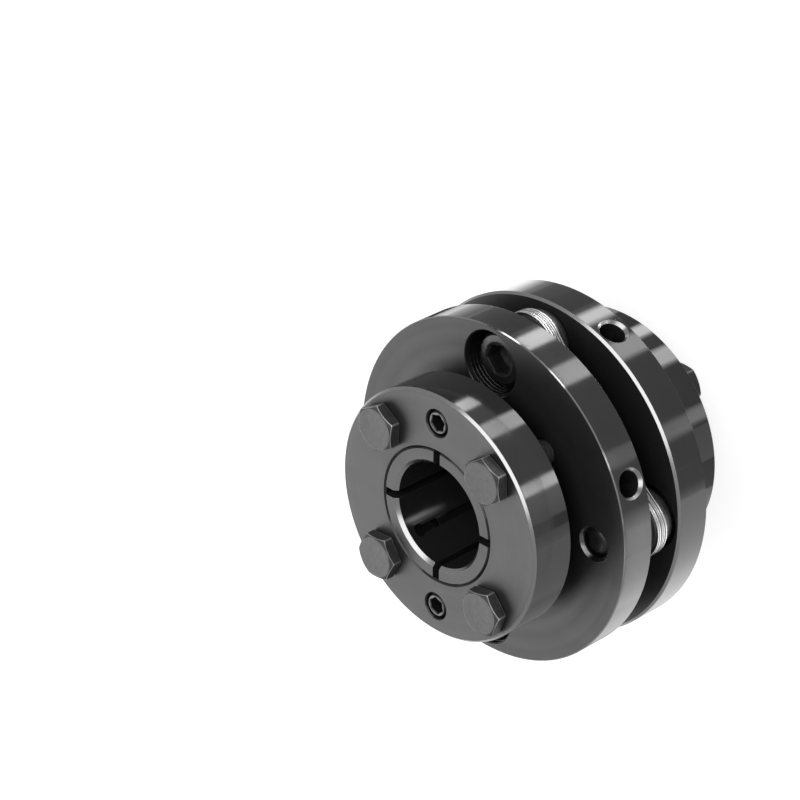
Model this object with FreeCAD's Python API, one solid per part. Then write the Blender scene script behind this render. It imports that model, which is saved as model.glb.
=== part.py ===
import FreeCAD, Part
import math
import os

# Disc coupling: two clamping hubs joined by a thin stack of steel discs.
# The axis is +Z and the front half is up, standing on the bolt heads of the rear half.
# The origin is on the axis, midway through the disc pack.
# Angles are measured from +X towards +Y, and all sizes are in millimetres.

# Flanges
flange_diameter = 104.0
flange_thickness = 11.5
flange_pack_chamfer = 0.7
flange_front_chamfer = 0.3
flange_hole_chamfer = 0.5
boss_diameter = 49.0
boss_height = 3.5
boss_root_chamfer = 0.6
boss_chamfer = 0.4

# Spanner holes in the flange rims
rim_hole_diameter = 7.4
rim_hole_depth = 10.0
rim_hole_count = 2
rim_hole_angle = 22.5
rim_hole_chamfer = 0.9
drill_point_angle = 118.0

# Clamp rings
ring_diameter = 76.0
ring_thickness = 14.5
ring_gap = 6.0
ring_front_chamfer = 0.7
ring_back_chamfer = 0.5
ring_mouth_chamfer = 0.6

# Split taper sleeves
bore_diameter = 32.0
bore_chamfer = 1.0
sleeve_mouth_diameter = 41.0
sleeve_chamfer = 0.3
sleeve_end_gap = 1.0
taper_angle = 8.0
slot_count = 4
slot_width = 2.5
slot_bridge = 5.0
slot_relief_diameter = 4.0
seat_clearance = 0.05

# Clamp bolts, in both flanges
bolt_circle = 59.0
bolt_count = 4
bolt_first_angle = 45.0
bolt_diameter = 8.0
bolt_hole_diameter = 9.0
bolt_head_flats = 12.8
bolt_head_height = 4.0
bolt_head_face = 11.8
bolt_head_chamfer_angle = 30.0
bolt_end_gap = 1.0
bolt_head_turns = (33.0, 27.0, 3.0, 10.0)

# Jack screws, on the same circle as the clamp bolts
jack_count = 2
jack_first_angle = 90.0
jack_diameter = 8.0
jack_socket_flats = 4.4
jack_socket_depth = 5.0
jack_front_inset = 0.3
jack_back_inset = 1.7
jack_chamfer = 0.9

# Disc pack
lamination_count = 5
lamination_thickness = 0.8
pack_circle = 81.0
pack_corner_radius = 10.2
pack_opening = 56.0
pack_waist = 1.2

# Collars between the pack and the flanges
collar_thickness = 3.5
collar_diameter = 18.0
collar_chamfer = 0.4
collar_pack_chamfer = 0.9

# Screws through the disc pack
screw_diameter = 10.0
screw_hole_clearance = 0.2
screw_head_diameter = 16.0
screw_head_height = 8.0
screw_head_chamfer = 0.8
screw_head_clearance = 1.75
screw_head_hole_chamfer = 0.3
screw_socket_flats = 8.0
screw_socket_depth = 5.0
screw_end_inset = 2.0
screws_from_each_side = 2

# Shared by all threaded pieces
thread_clearance = 0.05
thread_end_chamfer = 0.8
thread_mouth_chamfer = 0.3
socket_mouth_chamfer = 0.3

# How far a cutter runs past the faces that it opens
cutter_overrun = 1.0

# Places along the axis, worked out from the sizes above
pack_thickness = lamination_count * lamination_thickness
inner_face = pack_thickness / 2 + collar_thickness
front_face = inner_face + flange_thickness
boss_face = front_face + boss_height
ring_back = front_face + ring_gap
ring_face = ring_back + ring_thickness
sleeve_tail = inner_face + sleeve_end_gap

# The sleeve is widest between its two tapers, where the ring stands off the boss
taper_slope = math.tan(math.radians(taper_angle))
crown_radius = sleeve_mouth_diameter / 2 + ring_thickness * taper_slope
head_hole_diameter = screw_head_diameter + 2 * screw_head_clearance


def point(radius, height):
    """A point of a turned profile, in the XZ plane."""
    return FreeCAD.Vector(radius, 0, height)


def turned(profile):
    """A closed profile of (radius, height) points, revolved about the axis."""
    corners = [point(r, z) for r, z in profile]
    wire = Part.makePolygon(corners + corners[:1])
    face = Part.Face(wire)
    return face.revolve(FreeCAD.Vector(0, 0, 0), FreeCAD.Vector(0, 0, 1), 360)


def on_circle(radius, angle, height=0.0):
    """The point at this radius, angle in degrees and height."""
    a = math.radians(angle)
    return FreeCAD.Vector(radius * math.cos(a), radius * math.sin(a), height)


def pattern(count, first_angle):
    """Angles of evenly spaced features, in degrees."""
    return [first_angle + 360.0 * i / count for i in range(count)]


def upright(diameter, bottom, top, place):
    """A cylinder parallel to the axis, between two heights."""
    foot = FreeCAD.Vector(place.x, place.y, bottom)
    return Part.makeCylinder(diameter / 2, top - bottom, foot)


def drilled(diameter, bottom, top, place, chamfer):
    """Cutter for a through hole with a chamfer at both faces."""
    cutter = upright(diameter, bottom - cutter_overrun, top + cutter_overrun, place)
    wide = diameter / 2 + chamfer
    low = FreeCAD.Vector(place.x, place.y, bottom)
    high = FreeCAD.Vector(place.x, place.y, top)
    up = FreeCAD.Vector(0, 0, 1)
    cutter = cutter.fuse(Part.makeCone(wide, diameter / 2, chamfer, low, up))
    cutter = cutter.fuse(Part.makeCone(wide, diameter / 2, chamfer, high, -up))
    return cutter


def hexagon_radius(flats):
    """Distance from a hexagon's middle to its corners."""
    return flats / math.sqrt(3)


def hexagon(flats, bottom, height, turn=0.0):
    """A hexagonal prism about the Z axis, with a corner at the angle turn."""
    corners = [on_circle(hexagon_radius(flats), angle, bottom) for angle in pattern(6, turn)]
    wire = Part.makePolygon(corners + corners[:1])
    return Part.Face(wire).extrude(FreeCAD.Vector(0, 0, height))


def hex_socket(flats, face, depth):
    """Cutter for a hexagonal socket: chamfered mouth, flat sides and a drilled cone at the bottom."""
    corner_radius = hexagon_radius(flats)
    tip = flats / 2 * math.tan(math.radians(90 - drill_point_angle / 2))
    down = FreeCAD.Vector(0, 0, -1)
    mouth_height = FreeCAD.Vector(0, 0, face)
    floor_height = FreeCAD.Vector(0, 0, face - depth)
    cutter = hexagon(flats, face - depth, depth + cutter_overrun)
    mouth = Part.makeCone(corner_radius + socket_mouth_chamfer, corner_radius - socket_mouth_chamfer,
                          2 * socket_mouth_chamfer, mouth_height, down)
    floor = Part.makeCone(flats / 2, 0, tip, floor_height, down)
    return cutter.fuse([mouth, floor])


def sleeve_radius(height):
    """Outside radius of the taper sleeve at a height of the front half."""
    if height > ring_back:
        return sleeve_mouth_diameter / 2 + (ring_face - height) * taper_slope
    if height < boss_face:
        return crown_radius - (boss_face - height) * taper_slope
    return crown_radius


def make_flange():
    """Turned disc with a short boss, a tapered seat for the sleeve, and its drilled holes."""
    rim = flange_diameter / 2
    boss = boss_diameter / 2
    seat_inner = sleeve_radius(inner_face) + seat_clearance
    seat_low = sleeve_radius(inner_face + flange_hole_chamfer) + seat_clearance
    seat_top = crown_radius + seat_clearance
    body = turned([
        (seat_inner + flange_hole_chamfer, inner_face),
        (rim - flange_pack_chamfer, inner_face),
        (rim, inner_face + flange_pack_chamfer),
        (rim, front_face - flange_front_chamfer),
        (rim - flange_front_chamfer, front_face),
        (boss + boss_root_chamfer, front_face),
        (boss, front_face + boss_root_chamfer),
        (boss, boss_face - boss_chamfer),
        (boss - boss_chamfer, boss_face),
        (seat_top, boss_face),
        (seat_low, inner_face + flange_hole_chamfer),
    ])
    cutters = []
    for angle in pattern(screws_from_each_side, 90):
        place = on_circle(pack_circle / 2, angle)
        cutters.append(drilled(head_hole_diameter, inner_face, front_face, place, screw_head_hole_chamfer))
    for angle in pattern(screws_from_each_side, 0):
        place = on_circle(pack_circle / 2, angle)
        tapped = screw_diameter + 2 * thread_clearance
        cutters.append(drilled(tapped, inner_face, front_face, place, thread_mouth_chamfer))
    for angle in pattern(bolt_count, bolt_first_angle):
        place = on_circle(bolt_circle / 2, angle)
        tapped = bolt_diameter + 2 * thread_clearance
        cutters.append(drilled(tapped, inner_face, front_face, place, thread_mouth_chamfer))
    for angle in pattern(rim_hole_count, rim_hole_angle):
        cutters.append(rim_hole(angle))
    return body.cut(cutters)


def rim_hole(angle):
    """Cutter for a blind radial hole with a drill point and a chamfered mouth."""
    radius = rim_hole_diameter / 2
    rim = flange_diameter / 2
    middle = (inner_face + front_face) / 2
    inward = -on_circle(1, angle)
    mouth = on_circle(rim + cutter_overrun, angle, middle)
    floor = on_circle(rim - rim_hole_depth, angle, middle)
    tip = radius / math.tan(math.radians(drill_point_angle / 2))
    cutter = Part.makeCylinder(radius, rim_hole_depth + cutter_overrun, mouth, inward)
    cutter = cutter.fuse(Part.makeCone(radius, 0, tip, floor, inward))
    depth = rim_hole_chamfer + cutter_overrun
    flare = Part.makeCone(radius + depth, radius, depth, mouth, inward)
    return cutter.fuse(flare)


def make_clamp_ring():
    """Turned ring whose tapered bore closes the sleeve, with bolt and jack screw holes."""
    rim = ring_diameter / 2
    mouth = sleeve_mouth_diameter / 2 + seat_clearance
    mouth_low = sleeve_radius(ring_face - ring_mouth_chamfer) + seat_clearance
    back = crown_radius + seat_clearance
    body = turned([
        (back, ring_back),
        (rim - ring_back_chamfer, ring_back),
        (rim, ring_back + ring_back_chamfer),
        (rim, ring_face - ring_front_chamfer),
        (rim - ring_front_chamfer, ring_face),
        (mouth + ring_mouth_chamfer, ring_face),
        (mouth_low, ring_face - ring_mouth_chamfer),
    ])
    cutters = []
    for angle in pattern(bolt_count, bolt_first_angle):
        place = on_circle(bolt_circle / 2, angle)
        cutters.append(drilled(bolt_hole_diameter, ring_back, ring_face, place, thread_mouth_chamfer))
    for angle in pattern(jack_count, jack_first_angle):
        place = on_circle(bolt_circle / 2, angle)
        tapped = jack_diameter + 2 * thread_clearance
        cutters.append(drilled(tapped, ring_back, ring_face, place, thread_mouth_chamfer))
    return body.cut(cutters)


def sleeve_slot(angle, closed_end, open_end):
    """Cutter for one slot through the sleeve wall, with a drilled relief at its closed end."""
    reach = crown_radius + cutter_overrun
    low = min(closed_end, open_end)
    length = abs(open_end - closed_end)
    corner = FreeCAD.Vector(0, -slot_width / 2, low)
    slot = Part.makeBox(reach, slot_width, length, corner)
    start = FreeCAD.Vector(0, 0, closed_end)
    relief = Part.makeCylinder(slot_relief_diameter / 2, reach, start, FreeCAD.Vector(1, 0, 0))
    cutter = slot.fuse(relief)
    cutter.rotate(FreeCAD.Vector(0, 0, 0), FreeCAD.Vector(0, 0, 1), angle)
    return cutter


def make_taper_sleeve():
    """Split sleeve with a taper each way, slotted from both ends so that it can close on the shaft."""
    bore = bore_diameter / 2
    tail = sleeve_radius(sleeve_tail)
    mouth = sleeve_mouth_diameter / 2
    body = turned([
        (bore + bore_chamfer, sleeve_tail),
        (tail - sleeve_chamfer, sleeve_tail),
        (sleeve_radius(sleeve_tail + sleeve_chamfer), sleeve_tail + sleeve_chamfer),
        (crown_radius, boss_face),
        (crown_radius, ring_back),
        (sleeve_radius(ring_face - sleeve_chamfer), ring_face - sleeve_chamfer),
        (mouth - sleeve_chamfer, ring_face),
        (bore + bore_chamfer, ring_face),
        (bore, ring_face - bore_chamfer),
        (bore, sleeve_tail + bore_chamfer),
    ])
    half_step = 180.0 / slot_count
    cutters = []
    for angle in pattern(slot_count, 0):
        cutters.append(sleeve_slot(angle, sleeve_tail + slot_bridge, ring_face + cutter_overrun))
    for angle in pattern(slot_count, half_step):
        cutters.append(sleeve_slot(angle, ring_face - slot_bridge, sleeve_tail - cutter_overrun))
    return body.cut(cutters)


def threaded_shank(diameter, tip, top):
    """Shank about the Z axis with a chamfered lower end."""
    radius = diameter / 2
    return turned([
        (0, tip),
        (radius - thread_end_chamfer, tip),
        (radius, tip + thread_end_chamfer),
        (radius, top),
        (0, top),
    ])


def make_clamp_bolt(turn):
    """Hexagon head bolt about the Z axis, its head on the clamp ring and its end in the flange."""
    face_radius = bolt_head_face / 2
    widest = face_radius + bolt_head_height / math.tan(math.radians(bolt_head_chamfer_angle))
    head = hexagon(bolt_head_flats, ring_face, bolt_head_height, turn)
    crown = Part.makeCone(widest, face_radius, bolt_head_height, FreeCAD.Vector(0, 0, ring_face))
    head = head.common(crown)
    shank = threaded_shank(bolt_diameter, inner_face + bolt_end_gap, ring_face + bolt_head_height / 2)
    return head.fuse(shank).removeSplitter()


def make_jack_screw():
    """Headless socket screw about the Z axis, held in the clamp ring."""
    radius = jack_diameter / 2
    top = ring_face - jack_front_inset
    tip = ring_back + jack_back_inset
    body = turned([
        (0, tip),
        (radius - jack_chamfer, tip),
        (radius, tip + jack_chamfer),
        (radius, top - jack_chamfer),
        (radius - jack_chamfer, top),
        (0, top),
    ])
    return body.cut(hex_socket(jack_socket_flats, top, jack_socket_depth))


def make_pack_screw():
    """Low socket head screw about the Z axis, from the front flange's hole into the rear flange."""
    head = screw_head_diameter / 2
    top = inner_face + screw_head_height
    body = turned([
        (0, inner_face),
        (head, inner_face),
        (head, top - screw_head_chamfer),
        (head - screw_head_chamfer, top),
        (0, top),
    ])
    shank = threaded_shank(screw_diameter, screw_end_inset - front_face, inner_face + screw_head_height / 2)
    body = body.fuse(shank).removeSplitter()
    return body.cut(hex_socket(screw_socket_flats, top, screw_socket_depth))


def make_collar():
    """Collar about the Z axis, between the upper side of the pack and the upper flange's face."""
    hole = screw_diameter / 2 + screw_hole_clearance
    rim = collar_diameter / 2
    low = pack_thickness / 2
    return turned([
        (hole, low),
        (rim - collar_pack_chamfer, low),
        (rim, low + collar_pack_chamfer),
        (rim, inner_face - collar_chamfer),
        (rim - collar_chamfer, inner_face),
        (hole, inner_face),
    ])


def make_lamination(bottom):
    """One thin plate of the pack: rounded corners, waisted sides, a round opening and four holes."""
    screws = 2 * screws_from_each_side
    half_step = 180.0 / screws
    step = math.radians(half_step)
    corner = pack_corner_radius
    centre = pack_circle / 2
    inset = centre * math.cos(step)
    waist = inset + corner - pack_waist
    square_sum = centre ** 2 + waist ** 2 - 2 * inset * waist - corner ** 2
    side = square_sum / (2 * (corner - waist + inset))
    edges = []
    for angle in pattern(screws, 0):
        corner_place = on_circle(centre, angle, bottom)
        side_place = on_circle(waist + side, angle + half_step, bottom)
        last_place = on_circle(waist + side, angle - half_step, bottom)
        next_corner = on_circle(centre, angle + 2 * half_step, bottom)
        start = towards(corner_place, last_place, corner)
        tip = on_circle(centre + corner, angle, bottom)
        end = towards(corner_place, side_place, corner)
        dip = on_circle(waist, angle + half_step, bottom)
        after = towards(next_corner, side_place, corner)
        edges.append(Part.Arc(start, tip, end).toShape())
        edges.append(Part.Arc(end, dip, after).toShape())
    plate = Part.Face(Part.Wire(edges)).extrude(FreeCAD.Vector(0, 0, lamination_thickness))
    top = bottom + lamination_thickness
    low = bottom - cutter_overrun
    high = top + cutter_overrun
    cutters = [upright(pack_opening, low, high, on_circle(0, 0))]
    for angle in pattern(screws, 0):
        hole = screw_diameter + 2 * screw_hole_clearance
        cutters.append(upright(hole, low, high, on_circle(centre, angle)))
    return plate.cut(cutters)


def towards(start, goal, distance):
    """The point this far from start on the way to goal."""
    way = goal - start
    return start + way * (distance / way.Length)


def placed(shape, radius, angle):
    """A copy of a piece made about the Z axis, moved out to its place on a circle."""
    copy = shape.copy()
    copy.translate(on_circle(radius, angle))
    return copy


def turned_over(shape):
    """A copy turned half a turn about the line y = x, as the rear half lies against the front."""
    copy = shape.copy()
    copy.rotate(FreeCAD.Vector(0, 0, 0), FreeCAD.Vector(1, 1, 0), 180)
    return copy


def half_pieces():
    """Every piece of one half of the coupling, by name."""
    pieces = {
        "flange": make_flange(),
        "clamp_ring": make_clamp_ring(),
        "taper_sleeve": make_taper_sleeve(),
    }
    for i, angle in enumerate(pattern(bolt_count, bolt_first_angle)):
        turn = bolt_head_turns[i % len(bolt_head_turns)]
        pieces[f"clamp_bolt_{i + 1}"] = placed(make_clamp_bolt(turn), bolt_circle / 2, angle)
    for i, angle in enumerate(pattern(jack_count, jack_first_angle)):
        pieces[f"jack_screw_{i + 1}"] = placed(make_jack_screw(), bolt_circle / 2, angle)
    for i, angle in enumerate(pattern(screws_from_each_side, 90)):
        pieces[f"pack_screw_{i + 1}"] = placed(make_pack_screw(), pack_circle / 2, angle)
    for i, angle in enumerate(pattern(2 * screws_from_each_side, 0)):
        pieces[f"pack_collar_{i + 1}"] = placed(make_collar(), pack_circle / 2, angle)
    return pieces


def main():
    os.makedirs("parts", exist_ok=True)
    nodes = {}
    for name, shape in half_pieces().items():
        nodes["front_" + name] = shape
        nodes["rear_" + name] = turned_over(shape)
    for i in range(lamination_count):
        bottom = i * lamination_thickness - pack_thickness / 2
        nodes[f"disc_lamination_{i + 1}"] = make_lamination(bottom)
    for name, shape in nodes.items():
        shape.exportStep(f"parts/{name}.step")
    print(len(nodes), "pieces, over all height", 2 * (ring_face + bolt_head_height))


main()
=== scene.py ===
# %% [markdown]
# # A disc coupling in black oxide steel
#
# A disc coupling joins two shafts end to end. Two turned flanges hold a thin stack of stainless
# discs between them, and each flange has a clamp ring that squeezes a split sleeve onto its shaft.
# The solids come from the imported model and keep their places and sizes. This lesson gives each of
# them its finish, makes the screws again with their threads and rounded edges, and lights them the
# way a product photographer lights polished metal.

# %% Load the frame
import math

import bmesh
import bpy
from mathutils import Matrix, Vector


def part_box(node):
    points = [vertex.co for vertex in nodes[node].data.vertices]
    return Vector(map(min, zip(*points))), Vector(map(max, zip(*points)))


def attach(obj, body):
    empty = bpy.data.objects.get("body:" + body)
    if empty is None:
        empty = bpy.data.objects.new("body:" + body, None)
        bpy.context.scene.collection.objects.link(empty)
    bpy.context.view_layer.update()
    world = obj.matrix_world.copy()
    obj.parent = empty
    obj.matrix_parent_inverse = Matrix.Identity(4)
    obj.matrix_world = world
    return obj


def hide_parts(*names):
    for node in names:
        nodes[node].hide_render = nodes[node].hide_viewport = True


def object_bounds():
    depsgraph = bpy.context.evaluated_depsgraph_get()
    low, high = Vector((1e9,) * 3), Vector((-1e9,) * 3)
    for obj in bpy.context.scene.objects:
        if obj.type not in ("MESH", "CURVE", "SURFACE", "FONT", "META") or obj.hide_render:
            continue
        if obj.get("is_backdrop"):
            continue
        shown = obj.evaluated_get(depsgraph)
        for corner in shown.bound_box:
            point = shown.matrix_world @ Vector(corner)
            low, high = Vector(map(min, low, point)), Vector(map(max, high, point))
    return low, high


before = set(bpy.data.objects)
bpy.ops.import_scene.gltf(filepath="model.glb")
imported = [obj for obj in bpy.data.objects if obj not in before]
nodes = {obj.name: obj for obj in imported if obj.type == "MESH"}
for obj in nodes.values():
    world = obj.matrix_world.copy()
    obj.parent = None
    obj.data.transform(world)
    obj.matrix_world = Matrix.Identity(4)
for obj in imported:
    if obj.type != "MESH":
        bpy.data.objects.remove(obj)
cad_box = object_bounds()
mm = 0.001
print(len(nodes), "nodes in a box of", [round(side / mm, 1) for side in cad_box[1] - cad_box[0]], "mm")

# %% [markdown]
# The coupling stands on the bolt heads of its rear half, because a model needs a stable way up.
# The picture shows it with its axis almost level, so the camera is rolled: it looks down on the
# coupling from one side, and its own up direction lies nearly along the floor. A long lens and a
# far camera keep the two flanges nearly the same size.

# %% Camera
camera_place = Vector((472.7, 394.4, 506.4)) * mm
camera_target = Vector((-32.6, 17.7, 20.1)) * mm
camera_up = Vector((-0.341, 0.881, -0.328))
camera_lens = 125.0


def looking(place, target, up):
    """Rotation that looks from place to target with this up direction."""
    back = (place - target).normalized()
    right = up.cross(back).normalized()
    return Matrix((right, back.cross(right), back)).transposed()


def linked(name, data):
    """A new object in the scene that shows this data."""
    piece = bpy.data.objects.new(name, data)
    bpy.context.scene.collection.objects.link(piece)
    return piece


camera_data = bpy.data.cameras.new("camera")
camera_data.lens = camera_lens
camera_data.clip_start = 0.01
camera = linked("camera", camera_data)
turn = looking(camera_place, camera_target, camera_up)
camera.matrix_world = Matrix.Translation(camera_place) @ turn.to_4x4()
bpy.context.scene.camera = camera
bpy.context.scene.view_settings.view_transform = "Standard"
print("camera", round((camera_place - camera_target).length, 3), "m from its target")

# %% [markdown]
# Shader nodes are easier to read when each one is a single line. `NodeLines` wraps a node tree:
# it adds a node, fills its inputs by name or number, and links whatever is another node's output.
# Every material and node group below is written with it.

# %% A short way to write shader nodes
class NodeLines:
    """Adds nodes to a tree, one line for each."""

    def __init__(self, tree):
        self.tree = tree

    def node(self, kind, inputs=None, **settings):
        """A node with these settings; an input takes a value or another node's output."""
        made = self.tree.nodes.new(kind)
        for key, value in settings.items():
            setattr(made, key, value)
        return self.fill(made, inputs or {})

    def fill(self, made, inputs):
        """Fills a node's inputs, by name or number."""
        for key, value in inputs.items():
            self.feed(made.inputs[key], value)
        return made

    def feed(self, socket, value):
        """Links an output to a socket, or sets the socket's own value."""
        if isinstance(value, bpy.types.NodeSocket):
            self.tree.links.new(value, socket)
        else:
            socket.default_value = value

    def math(self, operation, *values):
        """A Math node with its inputs in order."""
        made = self.node("ShaderNodeMath", operation=operation)
        for socket, value in zip(made.inputs, values):
            self.feed(socket, value)
        return made.outputs[0]

    def times(self, *values):
        """The product of all the values."""
        product = values[0]
        for value in values[1:]:
            product = self.math("MULTIPLY", product, value)
        return product

    def between(self, value, low, high):
        """1 where value lies between low and high, and 0 elsewhere."""
        return self.times(self.math("GREATER_THAN", value, low), self.math("LESS_THAN", value, high))

    def ramp(self, value, start, end):
        """0 at the start, 1 at the end and straight between them."""
        inputs = {"Value": value, "From Min": start, "From Max": end}
        return self.node("ShaderNodeMapRange", inputs).outputs[0]

    def noise_along(self, value, scale, detail):
        """Noise that depends on one number."""
        inputs = {"W": value, "Scale": scale, "Detail": detail}
        return self.node("ShaderNodeTexNoise", inputs, noise_dimensions="1D").outputs["Fac"]

    def dot(self, first, second):
        """How far two directions agree: 1 when they are the same and 0 at a right angle."""
        made = self.node("ShaderNodeVectorMath", {0: first, 1: second}, operation="DOT_PRODUCT")
        return made.outputs["Value"]

    def blend(self, factor, first, second):
        """A colour, vector or number that goes from first to second."""
        kind = "RGBA" if is_colour(first) or is_colour(second) else "FLOAT"
        kind = "VECTOR" if getattr(first, "type", "") == "VECTOR" else kind
        made = self.node("ShaderNodeMix", data_type=kind)
        open_inputs = [s for s in made.inputs if s.enabled]
        for socket, value in zip(open_inputs, (factor, first, second)):
            self.feed(socket, value)
        return [s for s in made.outputs if s.enabled][0]


def is_colour(value):
    """True for a written colour and for a colour output."""
    return isinstance(value, tuple) or getattr(value, "type", "") == "RGBA"


def grey(level):
    """A neutral colour of this linear level."""
    return (level, level, level, 1.0)


print("node lines ready")

# %% [markdown]
# ## The studio
#
# Polished black steel shows what it mirrors and hardly anything else, so its lights are planned
# backwards, from the reflections that are wanted. The floor and the world are white to the camera
# and grey to the steel. They give the turned sides their dark, even tone, because the steel throws
# back only a few percent of them. One large softbox stands where the flat front faces mirror it,
# and a second one, high above the camera's side, lights the slopes that were cut bright.

# %% World, floor and softboxes
floor_height = cad_box[0].z
floor_side = 6.0
floor_base = 0.35
floor_roughness = 0.9
floor_glow = 0.86
floor_glow_in_steel = 0.5
world_strength = 0.36
lamp_distance = 1.1


def studio_world():
    """Grey light all round, and pure white to the camera."""
    world = bpy.data.worlds.new("studio")
    bpy.context.scene.world = world
    world.use_nodes = True
    lines = NodeLines(world.node_tree)
    background = world.node_tree.nodes["Background"]
    background.inputs["Color"].default_value = grey(1.0)
    path = lines.node("ShaderNodeLightPath")
    strength = lines.blend(path.outputs["Is Camera Ray"], world_strength, 1.0)
    lines.feed(background.inputs["Strength"], strength)


def softbox(name, azimuth, elevation, size, radiance):
    """A rectangular lamp that faces the coupling, given by its direction and its radiance."""
    a = math.radians(azimuth)
    e = math.radians(elevation)
    way = Vector((math.cos(a) * math.cos(e), math.sin(a) * math.cos(e), math.sin(e)))
    data = bpy.data.lights.new(name, "AREA")
    data.shape = "RECTANGLE"
    data.size, data.size_y = size
    data.energy = radiance * math.pi * size[0] * size[1]
    lamp = linked(name, data)
    spin = looking(way, Vector((0, 0, 0)), Vector((0, 0, 1))).to_4x4()
    lamp.matrix_world = Matrix.Translation(way * lamp_distance) @ spin
    lamp.visible_camera = False
    print(name, "covers", round(math.degrees(math.atan(size[0] / 2 / lamp_distance))), "degrees each way")


def white_floor():
    """A floor under the coupling that looks white and still keeps the shadow."""
    half = floor_side / 2
    corners = [(-half, -half), (half, -half), (half, half), (-half, half)]
    mesh = bpy.data.meshes.new("floor")
    mesh.from_pydata([(x, y, floor_height) for x, y in corners], [], [(0, 1, 2, 3)])
    floor = linked("floor", mesh)
    floor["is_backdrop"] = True
    material = bpy.data.materials.new("floor_white")
    material.use_nodes = True
    lines = NodeLines(material.node_tree)
    shader = material.node_tree.nodes["Principled BSDF"]
    shader.inputs["Base Color"].default_value = grey(floor_base)
    shader.inputs["Roughness"].default_value = floor_roughness
    shader.inputs["Specular IOR Level"].default_value = 0.0
    shader.inputs["Emission Color"].default_value = grey(1.0)
    path = lines.node("ShaderNodeLightPath")
    seen = lines.math("MAXIMUM", path.outputs["Is Camera Ray"], path.outputs["Is Transmission Ray"])
    glow = lines.times(seen, floor_glow)
    mirrored = lines.times(path.outputs["Is Glossy Ray"], floor_glow_in_steel)
    lines.feed(shader.inputs["Emission Strength"], lines.math("ADD", glow, mirrored))
    mesh.materials.append(material)


studio_world()
white_floor()
softbox("face_softbox", azimuth=217.0, elevation=37.0, size=(0.9, 0.9), radiance=3.6)
softbox("edge_softbox", azimuth=63.0, elevation=54.0, size=(1.5, 0.9), radiance=1.75)
print("floor at", round(floor_height / mm, 2), "mm")

# %% [markdown]
# The bright bands along the turned sides are reflections of long strips of light. Where must a
# strip lie, so that its reflection is a band from one angle to another? A mirror on a cylinder
# sends the camera's ray on at twice the angle of the surface, less the camera's own angle, and as
# steeply down as the ray came. So each edge of a strip is followed from the camera to the
# metal and on to the floor, at the top and bottom of every turned side, and the floor points are
# joined up. The front ring sees the floor only past the flange's rim, so its patches stop at the
# ray that just passes the rim. That is the family of angles that product photographers look for by
# eye. A strip may also be darker than the floor: that is a black flag, which keeps a side dark
# between two bands.

# %% Where a strip has to lie
floor_sides = ("rear_clamp_ring", "rear_flange", "front_flange")
side_overrun = 2.5 * mm
rim_overrun = 0.4 * mm
rim_inset = 0.3 * mm
hub_step = 3.5 * mm
ring_lift = 0.1 * mm
flange_lift = 0.2 * mm
card_height = 17.3 * mm


def comes_down(radius, height, angle, level):
    """Where the camera's ray, mirrored at this point of a turned side, meets this level."""
    a = math.radians(angle)
    outward = Vector((math.cos(a), math.sin(a), 0))
    place = Vector((radius * outward.x, radius * outward.y, height))
    ray = (place - camera_place).reflect(outward)
    return (place + ray * ((level - height) / ray.z)).xy


def on_floor(node):
    """A side's radius, the heights that a strip serves at an angle, and the strip's level."""
    low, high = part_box(node)
    heights = {
        "rear_clamp_ring": (floor_height + side_overrun, high.z + side_overrun),
        "rear_flange": (low.z + hub_step - side_overrun, high.z + side_overrun),
        "front_flange": (low.z - side_overrun, high.z - hub_step + rim_overrun),
    }
    lift = flange_lift if "flange" in node else ring_lift
    return high.x, lambda angle: heights[node], floor_height + lift


def passes_rim(node, flange):
    """By angle, the height on a ring's side from which the mirrored ray just passes the rim."""
    low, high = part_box(node)
    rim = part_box(flange)[1].x - rim_inset

    def height(angle):
        near = comes_down(high.x, low.z, angle, card_height)
        way = comes_down(high.x, high.z, angle, card_height) - near
        half = near.dot(way) / way.dot(way)
        share = math.sqrt(half ** 2 - (near.dot(near) - rim ** 2) / way.dot(way)) - half
        return low.z + min(1.0, share) * (high.z - low.z)

    return height


def past_flange(node, flange):
    """The same for the part of a ring's side that mirrors the floor past the flange's rim."""
    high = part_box(node)[1]
    passing = passes_rim(node, flange)
    level = floor_height + ring_lift + flange_lift
    return high.x, lambda angle: (passing(angle) - rim_overrun, high.z + side_overrun), level


def on_flange(node, flange):
    """The same for the part of a ring's side that mirrors the flange in front of it."""
    low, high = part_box(node)
    passing = passes_rim(node, flange)
    return high.x, lambda angle: (low.z, passing(angle)), card_height


passing = passes_rim("front_clamp_ring", "front_flange")
print("the front ring mirrors its flange up to", [round(passing(a) / mm, 1) for a in (0, 40, 80)], "mm")

# %% [markdown]
# The clamp ring's side also mirrors the flange in front of it, which would make its lower half
# black. A photographer slips a small card in there. It shines on its upper side only: from below,
# where the flange's own reflections pass, it is clear. One thin upright card on the axis draws the
# single soft streak in the dark bore.

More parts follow.
